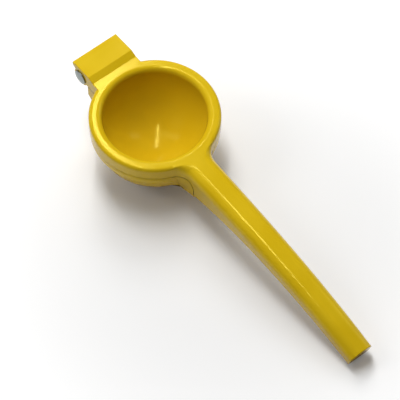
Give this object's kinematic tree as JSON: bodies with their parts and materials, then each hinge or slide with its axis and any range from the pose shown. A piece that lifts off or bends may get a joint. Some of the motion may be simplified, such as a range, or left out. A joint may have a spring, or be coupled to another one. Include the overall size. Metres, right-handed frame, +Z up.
{
  "type": "hinged citrus squeezer",
  "caption": "Handheld hinged lemon squeezer: a hollow pressing dome on an upper handle folds into a drained strainer bowl on a lower one, about a steel rivet.",
  "frame": {"origin": "middle of the closed squeezer's footprint, at the height of the bowl's drain pad", "axes": "+X from the hinge to the handles' tip, +Y across, +Z up; the squeezer is closed at rest and stands on its bowl and on the foot under its handles, so its rings lean 5.9 degrees towards the tip"},
  "size_m": [0.2274, 0.072, 0.0489],
  "materials": {
    "press_enamel": "gloss",
    "strainer_enamel": "gloss",
    "pin_steel": "brushed"
  },
  "bodies": {
    "strainer": {"strainer_half": "strainer_enamel"},
    "press": {"press_half": "press_enamel", "hinge_pin": "pin_steel"}
  },
  "joints": [
    {"name": "press_hinge", "type": "hinge", "parent": "strainer", "child": "press", "pos_m": [-0.10717, 0, 0.04152], "axis": [0, -1, 0], "range_deg": [0, 120]}
  ]
}
